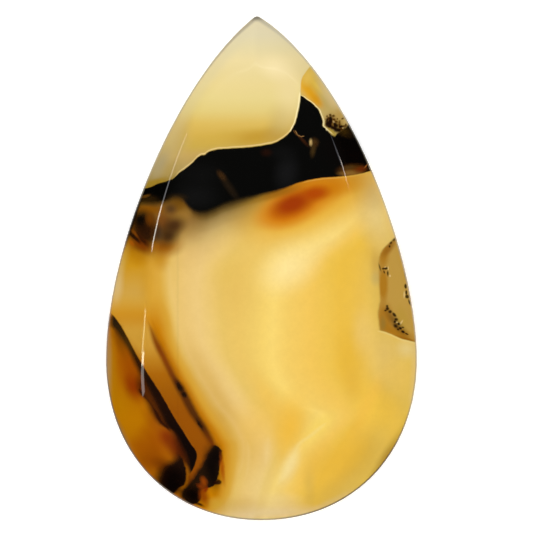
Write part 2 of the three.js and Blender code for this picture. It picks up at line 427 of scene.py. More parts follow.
# The black stripe, between its soft left edge and its crisp right edge, as (y, x). Beyond its
# ends the two edges cross, so that it runs out.
BLACK_LEFT = [
    (-16.5, -5.5), (-16.1, -5.75), (-15.0, -5.95), (-14.0, -6.4), (-13.0, -6.95), (-12.5, -7.5),
    (-11.5, -8.0), (-10.5, -8.5), (-9.0, -9.3), (-8.0, -9.85), (-6.5, -10.6), (-5.0, -11.55),
    (-4.2, -12.0), (-3.4, -11.7),
]
BLACK_LEFT_SOFT = 0.3
BLACK_RIGHT = [
    (-16.5, -5.8), (-16.1, -5.52), (-15.5, -5.26), (-14.8, -5.12), (-14.45, -5.22), (-14, -5.56),
    (-13, -6.18), (-12, -6.83), (-10, -7.97), (-8, -9.24), (-6, -10.37), (-5, -10.9), (-4.2, -11.4),
    (-3.7, -11.8), (-3.4, -12.2),
]
BLACK_RIGHT_SOFT = 0.07
BLACK_SHADES = [
    (-16.0, "#0c0301"), (-13.4, "#0c0301"), (-12.0, "#160601"), (-10.4, "#1c0801"), (-9.0, "#180801"),
    (-7.4, "#301604"), (-6.2, "#402806"), (-5.0, "#321e06"), (-3.8, "#241a0c"),
]

# The dark red smoke along its left side, and the thin second stripe in that smoke.
SMOKE_LEFT = [
    (-16.2, -5.3), (-15.7, -5.85), (-15.2, -6.35), (-14.2, -6.75), (-13, -7.15), (-12.4, -8.05),
    (-11.5, -8.75), (-10.5, -9.2), (-9.5, -9.85), (-8.6, -9.9),
]
SMOKE_LEFT_SOFT = 0.4
SMOKE_TOP = -8.4
SMOKE_TOP_SOFT = 0.9
SMOKE_COLOUR = "#3a1000"
SMOKE_STRENGTH = 0.9
SECOND_STRIPE = (
    [(-13.1, -7.1), (-12.7, -7.45), (-12.1, -8.05), (-11.5, -8.35), (-10.8, -8.75), (-9.9, -9.5),
     (-9.5, -9.75)],
    [(-13.1, -0.15), (-12.6, 0.12), (-11.8, 0.16), (-10.8, 0.04), (-9.9, 0.14), (-9.5, -0.15)],
    0.15, "#240600", 0.85)

# The brown stripe, as (y, x), with its half width and its colour along y, and the stain
# beside it.
BROWN_STRIPE = [
    (-15, -3.3), (-14.3, -3.7), (-12.5, -4.72), (-11.5, -5.38), (-9.5, -6.45), (-8.5, -7.05),
    (-7.2, -7.7), (-6, -8.3), (-4.5, -8.88), (-3.8, -9.1),
]
BROWN_HALF = [
    (-15, -0.3), (-14.2, 0.2), (-13.5, 0.3), (-9.5, 0.36), (-8.5, 0.28), (-6.5, 0.28), (-5.5, 0.2),
    (-4.5, -0.02), (-3.8, -0.3),
]
BROWN_SOFT = 0.24
BROWN_STRENGTH = 0.95
BROWN_SHADES = [
    (-14.0, "#6c2c00"), (-12.6, "#421c02"), (-11.4, "#462004"), (-10.4, "#4a2004"), (-9.5, "#301404"),
    (-8.4, "#6c3004"), (-7.2, "#7c3600"), (-6.2, "#783400"), (-5.2, "#844802"),
]
BROWN_STAIN = (shifted(BROWN_STRIPE, 0.35), BROWN_HALF, 0.4, "#ac6400", 0.75)
BROWN_SPOTS = ("#0c0502", 0.9, [
    (-6.52, -9.35, 0.17, 0.45, 28, 0.8), (-6.12, -10.05, 0.17, 0.24, 20, 0.7),
    (-4.9, -12.4, 0.12, 0.45, 30, 0.9),
])

# Each dark blob at the bend lies between a soft left edge and a crisp right edge, as (y, x).
BLOB_ONE_LEFT = [
    (-18, -7.0), (-17.6, -8.5), (-16.5, -8.3), (-15.9, -7.9), (-15.4, -7.2), (-14.5, -6.2),
]
BLOB_ONE_RIGHT = [
    (-18, -7.3), (-17.75, -6.85), (-17.5, -6.65), (-17.3, -6.35), (-17.1, -6.1), (-16.6, -5.98),
    (-16.1, -5.98), (-15.6, -6.1), (-15.1, -6.3), (-14.7, -6.6),
]
BLOB_TWO_LEFT = [
    (-18.8, -5.2), (-18.4, -6.2), (-17.9, -6.45), (-17.3, -6.0), (-16.8, -5.6), (-16.2, -5.2),
    (-15.4, -4.65), (-14.6, -4.25), (-14.1, -3.9), (-13.9, -3.4),
]
BLOB_TWO_RIGHT = [
    (-18.8, -5.7), (-18.55, -5.0), (-18.1, -4.78), (-17.75, -4.82), (-17.5, -4.6), (-17.35, -3.9),
    (-17, -3.62), (-16.5, -3.43), (-15.7, -3.29), (-14.9, -3.12), (-14.5, -3.15), (-14.2, -3.38),
    (-14.0, -3.8), (-13.9, -4.1),
]
BLOB_RIGHT_SOFT = 0.08
BLOBS = [
    (BLOB_ONE_LEFT, 0.65, BLOB_ONE_RIGHT, "#1c0a02"), (BLOB_TWO_LEFT, 0.3, BLOB_TWO_RIGHT, "#201003"),
]
BLOB_CORES = ("#050100", 0.92, [
    (-6.9, -16.6, 0.95, 0.85, -20, 0.9), (-7.0, -17.3, 0.6, 0.4, -35, 0.6),
    (-3.92, -15.9, 0.48, 1.4, 10, 0.8), (-3.58, -14.85, 0.4, 0.65, 0, 0.8),
    (-5.4, -18.0, 0.68, 0.55, -20, 0.7),
])
BLOB_SPECKS = ("#1c0400", 0.92, [
    (-3.4, -16.98, 0.22, 0.2, 0, 0.4), (-3.66, -17.05, 0.2, 0.12, 0, 0.5),
    (-4.95, -18.74, 0.34, 0.1, -20, 0.8),
])

# Amber that shows between the blobs.
BLOB_GAPS = [
    (-4.58, -16.95, 0.22, 0.36, 20, 0.9, "#8e3e02", 0.9),
    (-4.85, -17.3, 0.26, 0.16, -30, 0.9, "#7a3002", 0.8),
    (-4.42, -17.58, 0.13, 0.2, -40, 0.7, "#781800", 0.9),
    (-3.1, -15.9, 0.16, 0.95, 6, 0.9, "#9c4400", 0.8), (-3.7, -18.6, 0.5, 0.35, 0, 0.9, "#cfa438", 0.6),
    (-4.55, -18.1, 0.32, 0.65, 8, 0.9, "#8c3a00", 0.85),
]

# The tan inclusion at the right edge: its left edge as (y, x), its foot as (x, y), and the
# pale line under it.
INCLUSION_LEFT = [
    (-6, 9.3), (-5, 9.36), (-4.3, 9.3), (-3.6, 9.24), (-3, 9.32), (-2.5, 9.4), (-1.5, 9.34), (-0.4, 9.3),
    (0.5, 9.3), (1.0, 9.38), (1.4, 9.55), (1.75, 9.85), (2.35, 10.48), (3.4, 11.6),
]
INCLUSION_LEFT_SOFT = 0.12
INCLUSION_FOOT = [(9, -4.8), (9.47, -4.94), (10.1, -5.14), (10.98, -5.53), (12.17, -5.85)]
INCLUSION_FOOT_SOFT = 0.04
INCLUSION_COLOUR = "#c69c46"
INCLUSION_SURROUND = [
    (9.1, 0.4, 0.4, 0.8, 0, 0.9, "#cc9c48", 0.5), (9.1, -0.8, 0.35, 0.5, 0, 0.9, "#c4a864", 0.6),
]
INCLUSION_STAINS = [
    (9.7, 0.9, 0.35, 0.8, -10, 0.7, "#b47a1c", 0.85), (9.68, -1.3, 0.34, 1.3, 0, 0.5, "#b47a1c", 0.95),
    (10.1, 1.6, 0.28, 0.75, -38, 0.7, "#9c6418", 0.85), (9.8, -4.0, 0.6, 1.2, 8, 0.6, "#b07820", 0.95),
    (10.8, -5.1, 1.2, 0.4, -22, 0.7, "#b07414", 0.9), (10.7, -4.35, 1.0, 0.3, -52, 0.9, "#6a4612", 0.8),
    (9.65, -4.4, 0.2, 0.5, 0, 0.8, "#967830", 0.7), (11.2, -3.9, 0.4, 0.8, 20, 0.8, "#c09a3c", 0.7),
    (9.47, -5.05, 0.3, 0.1, -18, 0.8, "#a0690f", 0.8), (11.5, -5.6, 0.8, 0.1, -16, 0.8, "#985c0a", 0.85),
]
INCLUSION_SPECKS = ("#1c0c02", 0.92, [
    (9.36, 0.15, 0.06, 0.32, 20, 0.8), (9.88, -0.01, 0.15, 0.1, 10, 0.4),
    (9.67, -0.03, 0.11, 0.08, 0, 0.5), (9.75, -0.3, 0.06, 0.12, 20, 0.7),
    (10.03, -0.4, 0.07, 0.2, 0, 0.7), (10.5, 2.3, 0.13, 0.14, -30, 0.9),
    (10.28, 2.02, 0.09, 0.12, -30, 0.8), (10.17, 1.75, 0.07, 0.1, 0, 0.8),
    (11.42, -0.4, 0.08, 0.55, 8, 0.7), (11.44, -1.42, 0.1, 0.19, 5, 0.4),
    (11.5, -1.92, 0.08, 0.2, 5, 0.4), (11.57, -2.25, 0.15, 0.15, 0, 0.4),
    (11.76, -2.72, 0.07, 0.26, 22, 0.6), (9.97, -3.0, 0.09, 0.09, 0, 0.7),
    (10.0, -3.2, 0.13, 0.14, 0, 0.5), (9.85, -3.35, 0.1, 0.07, 0, 0.7),
    (10.21, -3.44, 0.14, 0.12, 0, 0.5), (10.55, -3.68, 0.2, 0.11, -48, 0.4),
    (10.7, -4.05, 0.14, 0.12, 0, 0.5), (10.58, -4.25, 0.1, 0.1, 0, 0.6),
    (10.9, -4.42, 0.12, 0.1, -30, 0.5), (10.65, -4.58, 0.2, 0.13, -40, 0.7),
    (11.03, -4.76, 0.13, 0.1, -30, 0.4), (10.85, -4.85, 0.1, 0.08, 0, 0.7),
    (11.22, -4.68, 0.1, 0.06, 0, 0.6), (11.24, -5.03, 0.16, 0.1, -30, 0.4),
    (11.53, -5.2, 0.16, 0.06, -25, 0.5),
])
INCLUSION_GLINTS = ("#e8cc88", 0.8, [
    (9.82, 0.1, 0.06, 0.05, 0, 0.6), (10.07, 0.0, 0.04, 0.14, 0, 0.6), (10.2, -0.6, 0.06, 0.08, 0, 0.7),
    (11.33, -2.1, 0.05, 0.26, 0, 0.6), (10.75, -4.3, 0.07, 0.05, 0, 0.6),
    (11.1, -4.3, 0.06, 0.2, -35, 0.7),
])
UNDER_INCLUSION = (
    shifted(INCLUSION_FOOT, -0.1), [(9, -0.1), (9.6, 0.03), (12.17, 0.03)], 0.07, "#f4da8e", 0.8)

# The black band's lower edge and the softness of that edge, both as (x, y or mm), and the
# pale line under its crisp part, from x = 1 to 8.7.
BAND_LOWER = [
    (-13, 4.95), (-9.4, 5.15), (-8.6, 5.08), (-7.9, 5.15), (-7.4, 5.3), (-6.8, 5.5), (-6.4, 5.42),
    (-6.0, 5.08), (-5.6, 4.62), (-5.2, 4.35), (-4.7, 4.24), (-4, 4.42), (-3, 4.88), (-2, 5.2), (-1, 5.48),
    (0, 5.8), (1, 6.06), (2, 6.4), (3, 6.8), (4, 7.05), (5, 7.2), (6, 7.26), (7, 7.36), (7.6, 7.46),
    (8.1, 7.56), (8.7, 7.75), (13, 9.5),
]
BAND_LOWER_SOFT = [
    (-13, 0.2), (-9, 0.3), (-8, 0.35), (-6, 0.32), (-4.5, 0.45), (-2, 0.42), (-0.5, 0.28), (1, 0.2),
    (2.2, 0.12), (3.5, 0.06), (5, 0.04), (13, 0.03),
]
CRISP_PART = [(x, y) for x, y in BAND_LOWER if 1 <= x <= 8.7]
UNDER_BAND = (
    shifted(CRISP_PART, -0.08), [(1, -0.1), (2.6, -0.1), (3.6, 0.02), (8.7, 0.04)],
    0.06, "#dcae50", 0.7)

# The shade of the black band in the stone below it: how strong it is by the depth in mm
# below the band's edge, and along x. It turns from brown to red at an x, over some mm.
SHADE_BY_DEPTH = [
    (-0.5, 1.0), (0.3, 0.89), (0.5, 0.78), (0.9, 0.6), (1.3, 0.45), (1.5, 0.36), (2.0, 0.22), (2.5, 0.12),
    (3.3, 0.03), (4.0, 0.0),
]
SHADE_ALONG = [
    (-13, 1.0), (-2, 1.0), (0.5, 0.95), (3, 0.8), (5.6, 0.7), (6.6, 0.35), (8, 0.2), (10, 0.1),
]
SHADE_BROWN = "#5a4110"
SHADE_RED = "#a04400"
SHADE_TURN = (1.0, 1.2)

# The golden glow under it, which fades out to the left and to the right of an x, over some mm.
GLOW_BY_DEPTH = [(-0.5, 1.0), (0.8, 1.0), (1.6, 0.8), (2.6, 0.45), (3.6, 0.15), (4.6, 0.0)]
GLOW_COLOUR = "#d89a10"
GLOW_STRENGTH = 0.7
GLOW_LEFT = (1.2, 2.0)
GLOW_RIGHT = (8.8, 1.6)

# The rust-red iron stain under the black band.
IRON_STAIN = [
    (3.0, 4.8, 3.6, 1.7, 20, 0.9, "#e8a818", 0.8), (1.8, 4.3, 1.7, 0.9, 15, 0.8, "#d07c00", 0.9),
    (2.9, 5.2, 2.4, 1.1, 22, 0.8, "#c66400", 0.95), (5.1, 6.25, 2.0, 0.7, 12, 0.8, "#c67400", 0.85),
    (2.45, 5.1, 1.5, 0.75, 22, 0.7, "#9a3200", 0.95), (4.3, 5.95, 0.95, 0.5, 8, 0.7, "#ac4000", 0.9),
    (1.4, 6.0, 1.5, 0.3, 17, 0.9, "#84540a", 0.7),
]

# The tortoiseshell patch at the left, below the band.
TORTOISE = [
    (-7.1, 3.9, 1.9, 1.7, -20, 0.8, "#80561e", 0.9), (-8.9, 3.0, 1.6, 1.5, 0, 0.8, "#5c300a", 0.9),
    (-7.6, 1.65, 1.0, 0.6, 10, 0.9, "#9c6008", 0.9), (-7.9, 1.75, 0.6, 0.35, 0, 0.9, "#8c4c02", 0.8),
    (-6.5, 5.0, 0.5, 0.7, 10, 0.8, "#7c5210", 0.9), (-6.3, 4.1, 0.6, 0.4, 30, 0.9, "#98702c", 0.7),
    (-8.1, 4.3, 0.35, 0.8, -14, 0.8, "#845820", 0.9), (-7.2, 4.75, 0.42, 0.36, 0, 0.9, "#4c3218", 0.85),
    (-7.85, 3.75, 0.35, 0.5, 0, 0.9, "#744416", 0.85), (-6.95, 3.4, 0.75, 0.55, 15, 0.9, "#44280e", 0.95),
    (-7.4, 2.55, 0.7, 0.6, 30, 0.9, "#3a220a", 0.95), (-8.2, 2.8, 0.35, 0.6, 0, 0.8, "#42301c", 0.85),
    (-8.95, 4.65, 0.95, 0.32, -3, 0.7, "#824c04", 0.95),
    (-9.4, 2.95, 0.95, 1.1, -20, 0.7, "#341703", 0.95),
    (-9.55, 3.82, 0.72, 0.68, -10, 0.8, "#0c0702", 1.0), (-8.85, 3.85, 0.3, 0.5, 0, 0.8, "#6a3804", 0.9),
    (-9.1, 2.7, 0.5, 0.8, 0, 0.9, "#241004", 0.8), (-9.5, 1.8, 0.75, 0.4, -35, 0.8, "#783400", 0.9),
    (-9.45, 2.25, 0.6, 0.18, -45, 0.7, "#301202", 0.9),
    (-10.05, 2.75, 0.45, 0.1, -55, 0.8, "#7c4006", 0.8),
    (-9.95, 2.35, 0.5, 0.13, -48, 0.7, "#1e0a02", 0.9), (-10.0, 4.4, 2.3, 0.15, 73, 0.7, "#080300", 0.95),
    (-10.3, 2.0, 0.25, 0.14, -50, 0.8, "#a45204", 0.8),
    (-10.3, 2.65, 0.35, 0.14, -50, 0.8, "#1c0a02", 0.9), (-6.6, 5.3, 0.7, 0.4, 0, 0.9, "#664208", 0.8),
]

# What shows inside the black band.
IN_THE_BLACK = [
    (-5.2, 5.7, 1.3, 0.8, 0, 1.0, "#0f0f0f", 0.8), (-4.9, 7.4, 1.4, 0.9, 0, 1.0, "#0a0a0a", 0.7),
    (2.0, 7.6, 0.7, 1.1, -10, 1.0, "#131314", 0.9), (1.6, 9.2, 0.8, 0.5, 0, 1.0, "#0a0a0a", 0.8),
    (7.5, 9.0, 2.4, 1.2, -20, 1.0, "#050100", 0.9), (-2.6, 6.5, 1.1, 0.24, -55, 0.9, "#1e1408", 0.9),
    (-3.15, 7.35, 0.4, 0.2, -50, 0.8, "#38220a", 0.9), (0.4, 9.2, 0.35, 0.25, 0, 0.9, "#1e0902", 0.9),
    (-6.7, 5.6, 0.6, 0.25, 0, 0.9, "#2c1d06", 0.8), (-9.0, 5.35, 0.7, 0.35, 0, 0.9, "#2c1c04", 0.9),
    (-9.2, 5.72, 0.32, 0.1, 15, 0.8, "#5c3a0c", 0.9), (4.15, 9.95, 0.3, 0.32, 0, 0.8, "#442c0e", 0.85),
    (4.1, 9.4, 0.18, 0.45, -8, 0.9, "#3c2a0e", 0.9), (3.92, 10.0, 0.11, 0.24, 0, 0.7, "#be9f62", 0.9),
    (4.3, 9.8, 0.09, 0.12, 0, 0.8, "#301400", 0.7), (3.3, 10.15, 0.5, 0.1, -48, 0.9, "#3c1c06", 0.7),
    (2.78, 10.75, 0.2, 0.035, -60, 0.6, "#966e3c", 0.9),
    (3.02, 10.5, 0.14, 0.035, -35, 0.6, "#966e3c", 0.9),
    (3.26, 10.46, 0.13, 0.035, 15, 0.6, "#966e3c", 0.9),
    (2.62, 10.82, 0.18, 0.03, -55, 0.7, "#6e461e", 0.8),
    (2.85, 10.55, 0.2, 0.03, -45, 0.7, "#6e461e", 0.8), (7.25, 7.75, 0.9, 0.4, 3, 0.8, "#5c3408", 0.95),
    (7.1, 7.55, 0.75, 0.2, 2, 0.8, "#8a6228", 0.9), (6.9, 8.0, 0.45, 0.14, 10, 0.9, "#503a18", 0.7),
    (7.85, 7.85, 0.4, 0.2, 15, 0.8, "#6a2806", 0.85), (8.3, 8.12, 0.22, 0.04, 49, 0.6, "#a06028", 0.8),
    (6.5, 10.9, 0.6, 0.32, -25, 0.9, "#342204", 0.9), (7.05, 10.6, 0.2, 0.25, 0, 0.9, "#1c1003", 0.8),
]

# The cap's lower edge as (x, y), its right edge as (y, x), and its colour by y. The user's
# own cap colour lies at one y, between the shades of its foot and of its tip.
CAP_LOWER = [
    (-13, 5.9), (-9.2, 6.36), (-8.8, 6.45), (-8.3, 6.68), (-7.5, 6.93), (-7.0, 7.12), (-6.5, 7.6),
    (-6.0, 7.95), (-5.5, 8.35), (-4.8, 8.97), (-4.5, 9.0), (-4.3, 9.18), (-3.6, 9.42), (-2.8, 9.49),
    (-1.5, 9.57), (-0.5, 9.66), (0.5, 9.83), (1.0, 9.95), (1.5, 10.2), (2.0, 10.56), (2.5, 11.12),
    (3.2, 12.2), (13, 24),
]
CAP_RIGHT = [
    (8, 0.9), (10.4, 2.12), (10.9, 2.35), (11.3, 2.56), (11.5, 2.67), (11.8, 2.76), (12.2, 2.86),
    (12.7, 2.97), (13.2, 3.05), (13.7, 3.1), (14.6, 3.12), (15.1, 3.22), (15.5, 3.45), (16.0, 3.85),
    (20, 8),
]
CAP_SOFT = 0.05
CAP_SHADES = [
    (6.8, "#967828"), (7.2, "#9b8140"), (8.0, "#b0965a"), (9.0, "#c2a058"), (9.7, "#c6a64c"),
    (10.5, "#d1ac4c"), (11.5, "#dab85c"), (12.5, "#e1ca7c"), (13.5, "#e6d28b"),
]
CAP_MIDDLE = 14.5
# Towards the tip they turn paler and greyer: a painted reflection laid into the cap's colour.
CAP_TIP_SHADES_AND_SHEEN = [
    (15.5, "#e9d597"), (16.5, "#ecd9a0"), (17.5, "#e5d6a5"), (18.5, "#e0d4ae"), (20.0, "#e0d3b0"),
]
# The greyish clouds along the left edge are painted sheen; the pale one at (1.3, 15.9) is a painted glow.
CAP_CLOUDS_AND_SHEEN = [
    (-0.3, 10.4, 2.0, 0.55, 3, 0.9, "#c0952e", 0.85), (-3.6, 10.2, 1.6, 0.5, 12, 0.9, "#cda844", 0.6),
    (1.3, 10.8, 1.0, 0.7, 40, 0.9, "#bc9846", 0.85), (1.7, 11.9, 0.9, 0.9, -30, 0.9, "#d0b66e", 0.8),
    (-7.2, 9.6, 0.9, 1.8, -27, 0.9, "#c2a86a", 0.8), (-8.1, 8.2, 0.5, 1.1, -25, 0.9, "#a89870", 0.85),
    (-7.1, 7.9, 0.7, 0.5, 30, 0.9, "#ad9250", 0.7), (-8.4, 6.85, 0.8, 0.22, 14, 0.8, "#9c7c22", 0.9),
    (-8.3, 6.6, 0.7, 0.1, 16, 0.8, "#96741c", 0.9), (1.3, 15.9, 1.1, 0.7, -15, 1.0, "#f7e4b0", 0.85),
    (2.2, 14.2, 0.9, 1.8, 0, 1.0, "#ecd79e", 0.6), (-5.2, 14.0, 0.5, 3.4, -33, 1.0, "#dccd9e", 0.35),
    (-2.6, 17.4, 0.5, 2.6, -37, 1.0, "#d8cdaa", 0.35), (-6.6, 11.4, 0.5, 1.8, -28, 1.0, "#ccb884", 0.35),
]
ABOVE_CAP_EDGE = (
    shifted(CAP_LOWER, 0.1),
    [(-13, -0.1), (-7.4, -0.1), (-6.4, 0.04), (2.4, 0.05), (3.0, -0.1), (13, -0.1)],
    0.06, "#ead090", 0.8)
INSIDE_CAP_EDGE = (
    shifted(CAP_RIGHT, -0.08),
    [(8, -0.1), (10.6, -0.1), (11.0, 0.04), (13.7, 0.05), (14.3, -0.1), (20, -0.1)],
    0.06, "#fff0bc", 0.9)

# The golden corner right of the cap: its lower left edge as (y, x), and its foot as (x, y).
CORNER_LEFT = [
    (8, 5.0), (11.0, 5.1), (11.2, 4.95), (11.35, 4.85), (11.6, 4.87), (11.9, 4.8), (12.2, 4.68),
    (12.6, 4.52), (12.8, 4.32), (13.1, 4.02), (13.4, 3.6), (13.65, 3.25), (13.8, 2.9), (14.5, 2.5),
    (20, 1),
]
CORNER_LEFT_SOFT = 0.05
CORNER_FOOT = [
    (2, 11.2), (4.8, 11.17), (5.0, 11.08), (5.3, 10.88), (5.55, 10.6), (5.8, 10.5), (6.0, 10.7),
    (6.4, 10.95), (6.7, 11.15), (6.85, 11.35), (7.2, 11.9), (13, 22),
]
CORNER_FOOT_SOFT = 0.1
CORNER_COLOUR = "#c6ab64"
CORNER_CLOUDS = [
    (3.9, 14.9, 0.8, 1.2, 30, 0.9, "#dfb640", 0.8), (3.55, 14.45, 1.1, 0.5, -65, 0.9, "#e0ac38", 0.9),
    (3.9, 13.85, 1.1, 0.32, -48, 0.9, "#e0a018", 0.9), (4.35, 13.3, 0.5, 0.25, -50, 0.8, "#d89614", 0.8),
    (4.35, 14.5, 0.7, 0.14, -50, 0.9, "#e6c250", 0.6), (3.7, 15.3, 0.4, 0.6, -20, 0.9, "#e8c058", 0.8),
    (5.4, 13.7, 0.35, 1.6, 32, 0.9, "#dcc48a", 0.8), (6.2, 12.1, 0.6, 0.5, -55, 0.9, "#b89448", 0.8),
    (5.45, 11.55, 0.4, 0.5, 0, 0.9, "#7c4410", 0.85), (6.1, 11.35, 0.6, 0.35, -30, 0.9, "#8c6418", 0.7),
    (5.6, 10.78, 0.42, 0.16, -45, 0.7, "#b0922c", 0.9),
    (5.35, 10.9, 0.35, 0.06, -38, 0.8, "#e0cc90", 0.9), (6.45, 11.0, 0.5, 0.22, 15, 0.9, "#4c3408", 0.9),
]
INSIDE_CORNER = (
    shifted(CORNER_LEFT, 0.08), [(8, 0.04), (13.6, 0.04), (14, -0.1), (20, -0.1)],
    0.06, "#fff0b8", 0.9)

# Fern-like specks in the corner.
FERN_DARK = ("#140200", 0.98, [
    (5.48, 11.68, 0.16, 0.4, -4, 0.4), (5.2, 11.45, 0.15, 0.2, 0, 0.6), (5.42, 11.27, 0.24, 0.14, 0, 0.5),
    (5.2, 11.75, 0.11, 0.16, 0, 0.8), (5.72, 11.15, 0.24, 0.16, 0, 0.5),
    (5.88, 11.38, 0.25, 0.17, -50, 0.5), (5.92, 11.0, 0.2, 0.18, 0, 0.6),
    (6.15, 10.95, 0.17, 0.16, 0, 0.7), (5.33, 11.52, 0.1, 0.16, 20, 0.7),
    (6.3, 11.25, 0.16, 0.12, 0, 0.7),
])
FERN_BROWN = ("#4c2a04", 0.95, [
    (5.3, 11.88, 0.15, 0.09, 40, 0.6), (5.74, 11.83, 0.14, 0.09, -20, 0.6),
    (5.7, 12.1, 0.12, 0.09, 0, 0.7), (5.46, 12.16, 0.09, 0.11, 0, 0.6),
    (5.95, 11.64, 0.15, 0.07, -25, 0.7), (6.2, 11.6, 0.08, 0.12, 0, 0.7), (6.2, 11.37, 0.1, 0.13, 0, 0.6),
    (6.25, 11.17, 0.13, 0.09, 0, 0.6), (6.35, 11.05, 0.14, 0.09, 20, 0.7),
    (6.55, 11.28, 0.18, 0.07, 0, 0.7), (6.42, 11.88, 0.1, 0.06, 30, 0.7), (6.7, 11.4, 0.08, 0.1, 0, 0.7),
    (6.02, 11.85, 0.06, 0.07, 0, 0.7), (5.2, 12.05, 0.06, 0.08, 0, 0.7),
])
FERN_LIGHT = ("#d2b478", 0.7, [(5.73, 11.62, 0.06, 0.07, 0, 0.7), (6.46, 11.13, 0.06, 0.04, 0, 0.7)])

# A thin line painted all round the girdle's top edge as sheen and shade, and its colour there.
PAINTED_RIM_HEIGHT = 0.1
PAINTED_RIM_SOFT = 0.05
PAINTED_RIM_GREY = "#8c8578"
PAINTED_RIM_STRENGTH = 0.6
# Where these clouds are pale they are a painted reflection, and where they are dark, painted shade.
PAINTED_RIM_SHEEN_AND_SHADE = [
    (-10.6, -13.0, 1.6, 5.0, 28, 0.7, "#5e5244", 0.85), (-7.4, -18.0, 1.4, 0.5, -30, 0.7, "#847664", 0.8),
    (0, -20, 7.5, 1.2, 0, 0.7, "#8c8068", 0.75), (7.2, -17.6, 6.6, 1.8, 40, 0.7, "#46300c", 0.9),
    (-10.0, 4.4, 2.3, 0.5, 73, 0.7, "#1c1410", 0.9), (-5.4, 13.2, 8.2, 1.2, 57, 0.6, "#b4a88c", 0.8),
    (2.2, 17.9, 3.4, 0.8, -47, 0.6, "#c8bea2", 0.8), (4.6, 14.7, 5.0, 0.8, -58, 0.6, "#d2c6aa", 0.8),
    (7.9, 9.5, 2.1, 0.6, -62, 0.6, "#28241c", 0.85), (11.6, -1.0, 0.9, 5.5, 6, 0.7, "#c8b490", 0.8),
    (10.0, 5.0, 0.8, 3.0, 22, 0.7, "#d4c098", 0.8), (-0.55, 19.95, 0.8, 0.25, 0, 0.7, "#6c685c", 0.75),
]

# How far the gradients that read x and y reach to each side, in mm: past the whole stone.
GRADIENT_REACH = 25.0

# How far a spot reaches in depth, in mm: without end.
SPOT_DEPTH = 1e6


# The nodes that draw them

# No range is clamped by its own node: the renderer adds a late node for each clamp, and then
# works out every mask before the first one is used. The smooth steps, the colour ramps and
# the level curves hold their ends by themselves.

def add_node(tree, kind, inputs=None, **settings):
    """Add a node, give it its settings, and set or link its inputs, by number or name."""
    node = tree.nodes.new("ShaderNode" + kind)
    for name, value in settings.items():
        setattr(node, name, value)
    for socket, value in (inputs or {}).items():
        if isinstance(value, bpy.types.NodeSocket):
            tree.links.new(value, node.inputs[socket])
        else:
            node.inputs[socket].default_value = value
    return node


def lay(tree, below, colour, *masks):
    """Lay a colour over what is there already, as far as every mask lets it."""
    mask = masks[0]
    for other in masks[1:]:
        mask = add_node(tree, "Math", {0: mask, 1: other}, operation="MULTIPLY").outputs[0]
    over = linear(colour) if isinstance(colour, str) else colour
    mix = add_node(tree, "Mix", {0: mask, 6: below, 7: over}, data_type="RGBA")
    return mix.outputs[2]


def shades(tree, along, stops):
    """A colour that changes along the stone. The stops are (mm, colour)."""
    start, end = stops[0][0], stops[-1][0]
    share = add_node(tree, "MapRange", {0: along, 1: start, 2: end}, clamp=False).outputs[0]
    ramp = add_node(tree, "ValToRGB", {0: share})
    marks = ramp.color_ramp.elements
    for number, (at, colour) in enumerate(stops):
        place = (at - start) / (end - start)
        mark = marks[number] if number < 2 else marks.new(place)
        mark.position = place
        mark.color = linear(colour) if isinstance(colour, str) else colour
    return ramp.outputs[0]


def course(tree, along, points):
    """Where a line lies across the stone, read at each place along it. The points are
    (along, across) in mm, and the line goes smoothly through them."""
    start, end = points[0][0], points[-1][0]
    low = min(across for _, across in points)
    high = max(across for _, across in points)
    share = add_node(tree, "MapRange", {0: along, 1: start, 2: end}, clamp=False)
    line = add_node(tree, "FloatCurve", {1: share.outputs[0]})
    line.mapping.extend = "HORIZONTAL"
    knots = line.mapping.curves[0].points
    shares = [((at - start) / (end - start), (across - low) / (high - low))
              for at, across in points]
    knots[0].location = shares[0]
    knots[1].location = shares[-1]
    for at, across in shares[1:-1]:
        knots.new(at, across)
    for knot in knots:
        knot.handle_type = "AUTO_CLAMPED"
    line.mapping.update()
    across = add_node(tree, "MapRange", {0: line.outputs[0], 3: low, 4: high}, clamp=False)
    return across.outputs[0]


def past(tree, value, line, soft, strength=1.0):
    """1 where a value is past a line and 0 short of it, over a soft edge in mm."""
    gap = add_node(tree, "Math", {0: value, 1: line}, operation="SUBTRACT").outputs[0]
    if isinstance(soft, bpy.types.NodeSocket):
        gap = add_node(tree, "Math", {0: gap, 1: soft}, operation="DIVIDE").outputs[0]
        soft = 1.0
    edge = add_node(tree, "MapRange", {0: gap, 1: -soft, 2: soft, 4: strength},
                    interpolation_type="SMOOTHSTEP", clamp=False)
    return edge.outputs[0]


def left_and_below(tree, x, y, line, fade):
    """The masks of a layer that lies left of a line and below a height y."""
    soft, top, top_soft = fade
    return past(tree, line, x, soft), past(tree, top, y, top_soft)


def stripe(tree, along, across, middle, half, soft, strength):
    """A band that follows a line. middle is its course, and half its half width along that:
    where it falls below nothing the band tapers away."""
    off = add_node(tree, "Math", {0: across, 1: course(tree, along, middle)},
                   operation="SUBTRACT").outputs[0]
    off = add_node(tree, "Math", {0: off}, operation="ABSOLUTE").outputs[0]
    width = course(tree, along, half)
    edge = add_node(tree, "Math", {0: off, 1: width}, operation="SUBTRACT").outputs[0]
    mask = add_node(tree, "MapRange", {0: edge, 1: soft, 2: -soft, 4: strength},
                    interpolation_type="SMOOTHSTEP", clamp=False)
    return mask.outputs[0]


